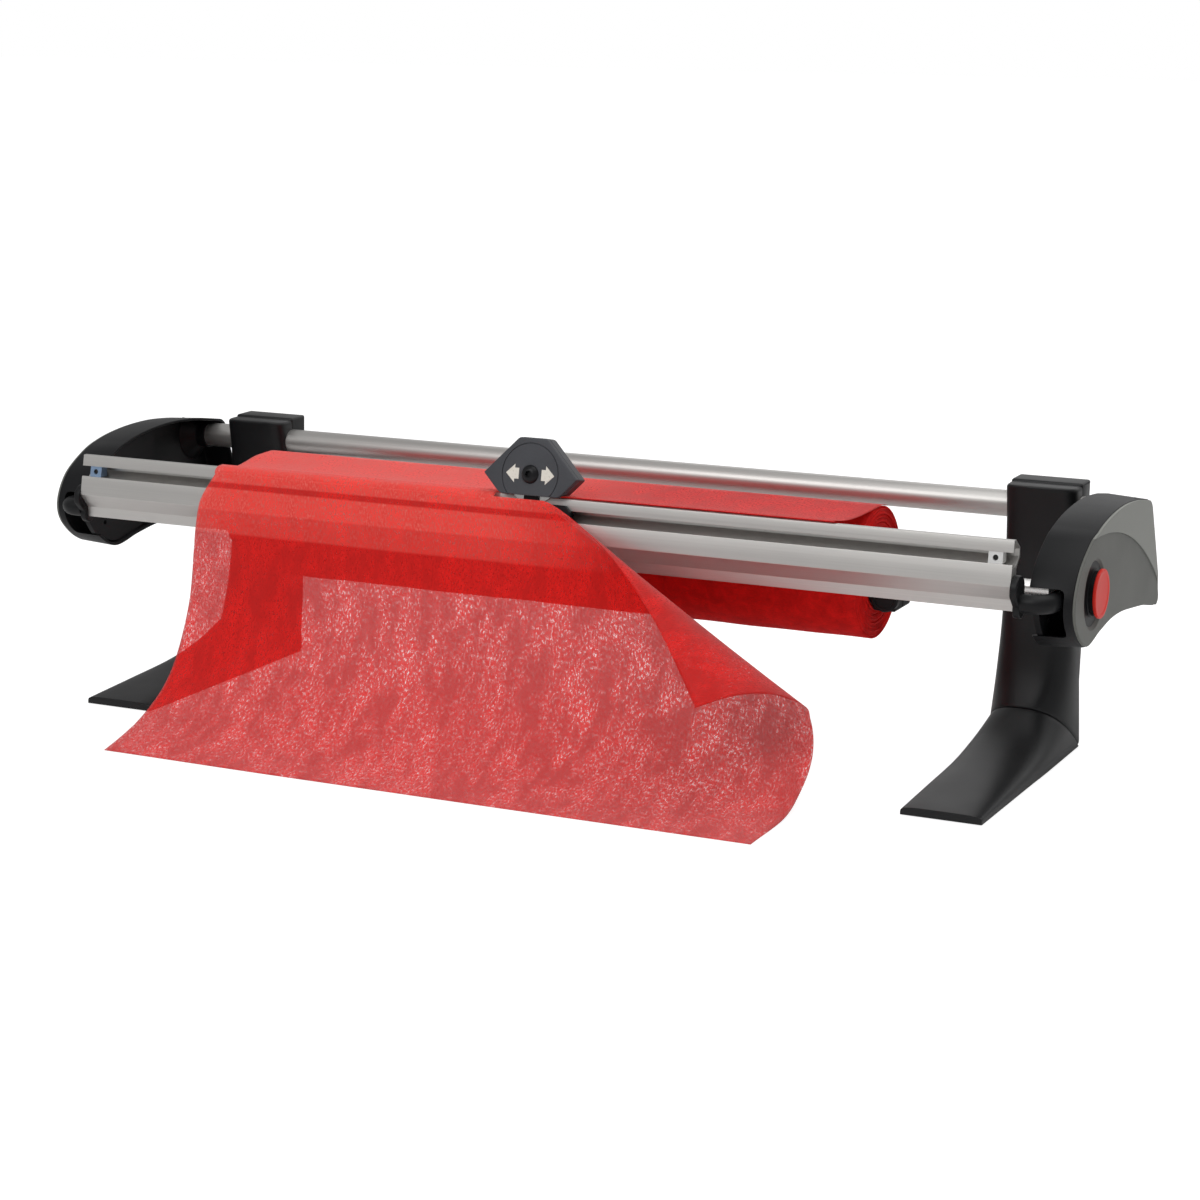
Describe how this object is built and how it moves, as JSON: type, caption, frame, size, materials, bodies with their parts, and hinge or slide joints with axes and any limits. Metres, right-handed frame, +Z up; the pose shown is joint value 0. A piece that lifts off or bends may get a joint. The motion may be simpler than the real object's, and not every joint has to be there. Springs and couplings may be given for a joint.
{
  "type": "gift wrap cutter",
  "caption": "Counter-top stand with a roll of gift wrap, a slotted cutting bar on swinging cranks, a sliding rotary cutter head and push buttons at the ends.",
  "frame": {"origin": "on the counter, under the middle of the bounding box", "axes": "+X along the cutting bar to the right as the user sees it, +Y from the user to the rear tube, +Z up"},
  "size_m": [1.1156, 0.4781, 0.3143],
  "materials": {
    "tube_aluminium": "satin anodised",
    "axle_steel": "bright drawn",
    "bar_aluminium": "satin anodised extrusion",
    "screw_steel": "zinc plated",
    "zinc_blue": "blue passivated zinc",
    "zinc_pale": "clear passivated zinc",
    "head_plastic": "fine grained black moulding",
    "slider_plastic": "smooth black moulding",
    "arrow_white": "pale inlay",
    "screw_black": "blackened steel",
    "blade_steel": "polished blade steel",
    "core_board": "wound board tube",
    "gift_wrap": "translucent fibrous non-woven wrap",
    "leg_plastic": "fine grained black moulding",
    "pad_rubber": "soft rubber",
    "housing_plastic": "fine grained black moulding",
    "plate_plastic": "dark grey satin moulding",
    "sleeve_plastic": "polished black moulding",
    "button_red": "red moulding",
    "spring_steel": "spring wire",
    "crank_black": "black powder coat",
    "plug_plastic": "black moulding",
    "knob_plastic": "black moulding with ringed face"
  },
  "bodies": {
    "frame": {"rear_tube": "tube_aluminium", "roll_axle": "axle_steel", "paper_sheet": "gift_wrap", "left_leg_column": "leg_plastic", "left_toe": "leg_plastic", "left_back_shell": "leg_plastic", "left_clamp_screws": "screw_steel", "left_foot_pads": "pad_rubber", "left_side_housing": "housing_plastic", "left_side_plate": "plate_plastic", "left_inner_panel": "housing_plastic", "left_pivot_pin": "axle_steel", "left_button_sleeve": "sleeve_plastic", "left_button_spring": "spring_steel", "right_leg_column": "leg_plastic", "right_toe": "leg_plastic", "right_back_shell": "leg_plastic", "right_clamp_screws": "screw_steel", "right_foot_pads": "pad_rubber", "right_side_housing": "housing_plastic", "right_side_plate": "plate_plastic", "right_inner_panel": "housing_plastic", "right_pivot_pin": "axle_steel", "right_button_sleeve": "sleeve_plastic", "right_button_spring": "spring_steel"},
    "bar": {"cutting_bar": "bar_aluminium", "stop_grub_screws": "screw_steel", "left_bar_lug": "crank_black", "left_crank_arm": "crank_black", "left_stop_nut": "zinc_blue", "right_bar_lug": "crank_black", "right_crank_arm": "crank_black", "right_stop_nut": "zinc_pale"},
    "carriage": {"carriage_shoe": "head_plastic", "slot_slider": "slider_plastic", "shoe_screws": "screw_steel", "head_front_cover": "head_plastic", "head_rear_cover": "head_plastic", "direction_arrows": "arrow_white", "blade_screw": "screw_black"},
    "blade": {"rotary_blade": "blade_steel"},
    "roll": {"core_tube": "core_board", "wound_roll": "gift_wrap", "left_core_plug": "plug_plastic", "right_core_plug": "plug_plastic"},
    "left_clamp": {"left_clamp_block": "plug_plastic"},
    "right_clamp": {"right_clamp_block": "plug_plastic"},
    "left_knob": {"left_clamp_knob": "knob_plastic"},
    "right_knob": {"right_clamp_knob": "knob_plastic"},
    "left_button": {"left_button_cap": "button_red", "left_button_skirt": "sleeve_plastic"},
    "right_button": {"right_button_cap": "button_red", "right_button_skirt": "sleeve_plastic"}
  },
  "joints": [
    {"name": "bar_swing", "type": "hinge", "parent": "frame", "child": "bar", "pos_m": [0, 0.017, 0.198], "axis": [1, 0, 0], "range_deg": [0, 20], "deforming": ["paper_sheet"]},
    {"name": "cutter_slide", "type": "slide", "parent": "bar", "child": "carriage", "axis": [1, 0, 0], "range_m": [-0.46, 0.418], "deforming": ["paper_sheet"]},
    {"name": "blade_spin", "type": "hinge", "parent": "carriage", "child": "blade", "pos_m": [0.021, -0.06492, 0.27824], "axis": [0, 0.9781, -0.2079], "continuous": true},
    {"name": "roll_spin", "type": "hinge", "parent": "frame", "child": "roll", "pos_m": [-0.014, 0.053, 0.189], "axis": [1, 0, 0], "continuous": true, "deforming": ["paper_sheet"]},
    {"name": "left_clamp_slide", "type": "slide", "parent": "frame", "child": "left_clamp", "axis": [-1, 0, 0], "range_m": [0, 0.12]},
    {"name": "right_clamp_slide", "type": "slide", "parent": "frame", "child": "right_clamp", "axis": [1, 0, 0], "range_m": [0, 0.15]},
    {"name": "left_knob_turn", "type": "hinge", "parent": "left_clamp", "child": "left_knob", "pos_m": [-0.3736, 0.035, 0.171], "axis": [0, 1, 0], "continuous": true},
    {"name": "right_knob_turn", "type": "hinge", "parent": "right_clamp", "child": "right_knob", "pos_m": [0.3456, 0.035, 0.171], "axis": [0, 1, 0], "continuous": true},
    {"name": "left_button_press", "type": "slide", "parent": "frame", "child": "left_button", "axis": [1, 0, 0], "range_m": [0, 0.004], "stiffness_N_per_m": 400, "springref_m": -0.005, "deforming": ["left_button_spring"]},
    {"name": "right_button_press", "type": "slide", "parent": "frame", "child": "right_button", "axis": [-1, 0, 0], "range_m": [0, 0.004], "stiffness_N_per_m": 400, "springref_m": -0.005, "deforming": ["right_button_spring"]}
  ]
}
